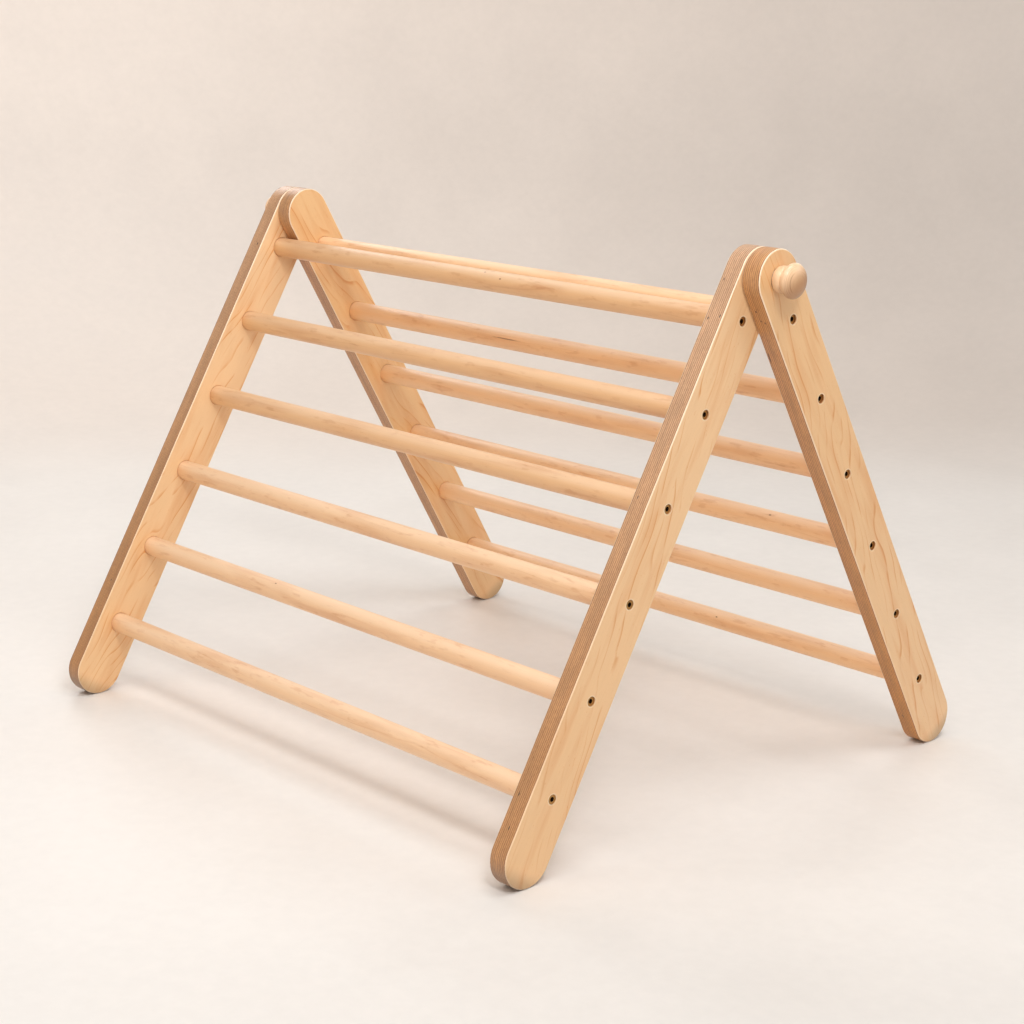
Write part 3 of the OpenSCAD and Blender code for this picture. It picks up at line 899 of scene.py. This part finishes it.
def screw_material(stringer, side):
    """Yellow plating, with painted shade inside the driver recess that sits in the middle of each head."""
    look = looks().metal
    material, tree, surface = new_material(f"{stringer}_screw_plating")
    place = stringer_place(tree, stringer, side)
    base, roughness, scratch = metal_coat(tree, place, look.brass, SCREW_ROUGHNESS)
    # Painted shade in the driver recess: near-black round the middle of each screw.
    recess = ease(tree, rung_radius(tree, place), *RECESS_SHADE_RING, 1.0, 0.0)
    base = blend_colours(tree, recess, base, look.recess)
    roughness = maths(tree, "ADD", roughness, maths(tree, "MULTIPLY", recess, 0.3))
    surface.inputs["Metallic"].default_value = 1.0
    finish_surface(tree, surface, base, roughness, scratch, 0.02)
    return material


def zinc_material():
    look = looks().metal
    material, tree, surface = new_material("bright_zinc")
    place = local_place(tree, (0, 0, 0), (0, 1, 0), (1, 0, 0))
    base, roughness, scratch = metal_coat(tree, place, look.zinc, ZINC_ROUGHNESS)
    surface.inputs["Metallic"].default_value = 1.0
    finish_surface(tree, surface, base, roughness, scratch, 0.02)
    return material


class FinishMetal(bpy.types.Operator):
    """Finish the screws, studs, inserts and washers"""

    bl_idname = "climbing.finish_metal"
    bl_label = "Finish Metal"

    def execute(self, context):
        for stringer, side in STRINGERS.items():
            wear_material(stringer.replace("stringer", "screws"), screw_material(stringer, side))
        zinc = zinc_material()
        for node in SMALL_METAL:
            wear_material(node, zinc)
        return {"FINISHED"}


# ---- studio -------------------------------------------------------------------

PHOTO_PX = 1024
FOCAL_PX = 2056.25
SENSOR_MM = 36.0
CAMERA_AT = (2.0162, -1.8884, 1.0099)  # in m
CAMERA_TURN = math.radians(46.533)     # of the sight line round the vertical
CAMERA_DIP = math.radians(14.467)      # of the sight line below the horizon
CAMERA_ROLL = math.radians(0.61)

# Name, place, aim and width in m, and watts of each lamp. Their tone is the studio's.
LAMPS = (
    ("key", (1.95, -1.05, 2.4), (0.3, 0.0, 0.4), 0.5, 20.0),
    ("inside", (0.9, 0.1, 2.6), (-0.3, 0.1, 0.2), 1.0, 18.0),
    ("front_left", (-1.15, -1.45, 3.0), (0.2, 0.0, 0.4), 0.7, 6.2),
    ("over_camera", (2.0, -2.0, 2.6), (0.0, 0.0, 0.3), 1.6, 10.4),
    ("overhead_front", (1.2, -1.2, 3.0), (0.4, -0.4, 0.0), 1.5, 11.9),
    ("overhead_left", (0.0, -1.9, 3.1), (0.0, -0.5, 0.0), 2.0, 17.9),
    ("overhead_back", (-0.9, 1.1, 3.0), (-0.4, 0.5, 0.0), 1.5, 10.2),
    ("left_back", (-2.8, 0.9, 2.0), (0.0, 0.0, 0.3), 1.3, 21.1),
    ("back", (-0.6, 2.9, 2.0), (0.0, 0.0, 0.3), 1.3, 9.2),
    ("right_back", (2.1, 2.1, 2.0), (0.0, 0.0, 0.3), 1.3, 9.9),
)

STUDIO_POINTS, FLOOR_POINTS, BEND_POINTS = 128, 24, 33   # round, along the floor, up the bend
FLOOR_HOLE = 0.02          # radius of the middle disc, in m
AIR_TINT = (1.0, 0.975, 0.94, 1.0)

# Where the backdrop changes, in mm of height, across or far: start, end and the tones there. The tones across, up
# the wall and near the camera are painted light and shade.
WALL_RISE = (0.0, 160.0)                   # height: floor paint to wall paint, so without tones
FAR_FLOOR = (1250.0, 2100.0)               # far: the same
FLOOR_SIDE_SHADE = (-300.0, 300.0, 1.0, 0.945)  # across: painted shade, the right of the floor is darker
WALL_SIDE_SHADE = (-100.0, 1500.0, 1.0, 0.815)  # across: painted shade, so is the right of the wall
HIGH_WALL_LIGHT = (450.0, 1000.0, 1.0, 1.1)      # height: painted light, its top is paler
NEAR_FLOOR_SHADE = (-950.0, -450.0, 0.93, 1.0)   # far: painted shade, the floor below the camera is darker
WALL_TONE = 0.93                           # of the wall against the floor


def studio_surface(look):
    """Floor, bend and wall as one bowl: a profile of radius and height, turned about Z.

    The floor is flat to floor_radius, the bend is a quarter circle of bend_radius, and the wall
    stands straight above it. Its faces look inward.
    """
    a = np.linspace(0, math.pi / 2, BEND_POINTS)
    floor = np.column_stack([
        np.linspace(FLOOR_HOLE, look.floor_radius, FLOOR_POINTS), np.zeros(FLOOR_POINTS),
    ])
    bend = np.column_stack([
        look.floor_radius + look.bend_radius * np.sin(a), look.bend_radius * (1 - np.cos(a)),
    ])[1:]
    wall = np.array([[bend[-1, 0], look.wall_height]])
    profile = np.vstack([floor, bend, wall])
    count = STUDIO_POINTS
    turns = np.linspace(0, 2 * math.pi, count, endpoint=False)
    r, z = profile[:, :1], profile[:, 1:]
    rings = np.stack([
        r * np.cos(turns), r * np.sin(turns), np.broadcast_to(z, (len(profile), count)),
    ], axis=-1).reshape(-1, 3)
    points = np.vstack([rings, [[0, 0, 0]]])
    quads = ring_quads(len(profile), count)[:, [0, 3, 2, 1]]
    v = np.arange(count)
    fan = np.stack([np.full(count, len(rings)), v, (v + 1) % count], axis=-1)
    faces = quads.tolist() + fan.tolist()
    return new_piece("studio", points, faces, np.ones(len(faces), bool))


def backdrop_material(look):
    """Matt warm paint, rolled on unevenly, with painted shade and light across it. From behind, the wall is seen
    through.

    Across runs to the right of the sight line and far away from the camera, both from the middle
    of the floor. Rising is 0 on the floor and 1 on the wall and the far end of the floor.
    """
    material, tree, surface = new_material("backdrop_paint")
    place = local_place(tree, (0, 0, 0), (1, 0, 0), (0, 0, 1))
    height = xyz(tree, place)[2]
    sideways = (math.cos(CAMERA_TURN), math.sin(CAMERA_TURN), 0.0)
    away = (-math.sin(CAMERA_TURN), math.cos(CAMERA_TURN), 0.0)
    across, far = dot(tree, place, sideways), dot(tree, place, away)
    cloud = noise(tree, place, (260, 260, 260), 3.0, 0.55)
    roller = noise(tree, place, (22, 22, 22), 3.0, 0.6)
    rising = maths(tree, "MAXIMUM", ease(tree, height, *WALL_RISE), ease(tree, far, *FAR_FLOOR))
    base = blend_colours(tree, rising, look.floor_paint, look.wall_paint)
    # Painted shade and light: the backdrop darkens to the right and below the camera, and pales high on the wall.
    floor_side_shade = ease(tree, across, *FLOOR_SIDE_SHADE)
    wall_side_shade = ease(tree, across, *WALL_SIDE_SHADE)
    base = toned(
        tree, base,
        spread(tree, cloud, 0.975, 1.025, *NOISE_RANGE),
        spread(tree, roller, 0.985, 1.015, *NOISE_RANGE),
        spread(tree, rising, floor_side_shade, wall_side_shade),
        spread(tree, rising, 1.0, WALL_TONE),
        ease(tree, height, *HIGH_WALL_LIGHT),
        ease(tree, far, *NEAR_FLOOR_SHADE),
    )
    finish_surface(tree, surface, base, spread(tree, cloud, 0.45, 0.6, *NOISE_RANGE), roller, 0.1)
    behind = put(tree, "ShaderNodeNewGeometry").outputs["Backfacing"]
    tree.links.new(maths(tree, "SUBTRACT", 1.0, behind), surface.inputs["Alpha"])
    return material


def point_at(thing, aim):
    """Turns a lamp so that its -Z looks at aim."""
    direction = Vector(aim) - thing.location
    thing.rotation_euler = direction.to_track_quat("-Z", "Y").to_euler()


class BuildStudio(bpy.types.Operator):
    """Lay the floor and wall, light them and set the camera"""

    bl_idname = "climbing.build_studio"
    bl_label = "Build Studio"

    def execute(self, context):
        look = looks().studio
        studio = studio_surface(look)
        studio.data.materials.append(backdrop_material(look))
        for name, place, aim, width, watts in LAMPS:
            light = bpy.data.lights.new(name, "AREA")
            light.size, light.energy, light.color = width, watts, look.lamp_tone
            lamp = bpy.data.objects.new(name, light)
            lamp.location = place
            lamp.visible_camera = False
            point_at(lamp, aim)
            context.scene.collection.objects.link(lamp)
        world = bpy.data.worlds.new("studio_air")
        world.use_nodes = True
        air = world.node_tree.nodes["Background"]
        air.inputs["Color"].default_value = AIR_TINT
        air.inputs["Strength"].default_value = look.ambient
        context.scene.world = world
        context.scene.view_settings.view_transform = "Standard"
        self.set_camera(context)
        return {"FINISHED"}

    def set_camera(self, context):
        """Right, up and back axes from the turn and dip of the sight line, then the roll."""
        turn, dip, roll = CAMERA_TURN, CAMERA_DIP, CAMERA_ROLL
        flat = math.cos(dip)
        back = Vector((math.sin(turn) * flat, -math.cos(turn) * flat, math.sin(dip)))
        level = Vector((math.cos(turn), math.sin(turn), 0.0))
        up = back.cross(level)
        right = math.cos(roll) * level + math.sin(roll) * up
        camera = bpy.data.objects.new("camera", bpy.data.cameras.new("camera"))
        camera.data.sensor_width = SENSOR_MM
        camera.data.lens = SENSOR_MM * FOCAL_PX / PHOTO_PX
        camera.data.dof.use_dof = False
        axes = Matrix((right, back.cross(right), back)).transposed().to_4x4()
        camera.matrix_world = Matrix.Translation(CAMERA_AT) @ axes
        context.scene.collection.objects.link(camera)
        context.scene.camera = camera


class ClimbingPanel(bpy.types.Panel):
    """Lists the pieces and their looks"""

    bl_idname = "VIEW3D_PT_climbing_triangle"
    bl_label = "Climbing Triangle"
    bl_space_type = "VIEW_3D"
    bl_region_type = "UI"
    bl_category = "Climbing Triangle"

    def draw(self, context):
        for group, operator in PANEL_ROWS:
            box = self.layout.box()
            box.operator(operator)
            look = getattr(context.scene.climbing_looks, group)
            for name in look.bl_rna.properties.keys():
                if name not in ("rna_type", "name"):
                    box.prop(look, name)


PANEL_ROWS = (
    ("stringer", "climbing.finish_stringers"),
    ("rung", "climbing.finish_rungs"),
    ("knob", "climbing.turn_knobs"),
    ("metal", "climbing.finish_metal"),
    ("studio", "climbing.build_studio"),
)
CLASSES = (
    StringerLook, RungLook, KnobLook, MetalLook, StudioLook, ClimbingLooks,
    FinishStringers, FinishRungs, TurnKnobs, FinishMetal, BuildStudio, ClimbingPanel,
)


def register():
    for kind in CLASSES:
        bpy.utils.register_class(kind)
    bpy.types.Scene.climbing_looks = PointerProperty(type=ClimbingLooks)


def unregister():
    del bpy.types.Scene.climbing_looks
    for kind in reversed(CLASSES):
        bpy.utils.unregister_class(kind)


def main():
    register()
    for _, operator in PANEL_ROWS:
        area, name = operator.split(".")
        getattr(getattr(bpy.ops, area), name)()


if __name__ == "__main__":
    main()
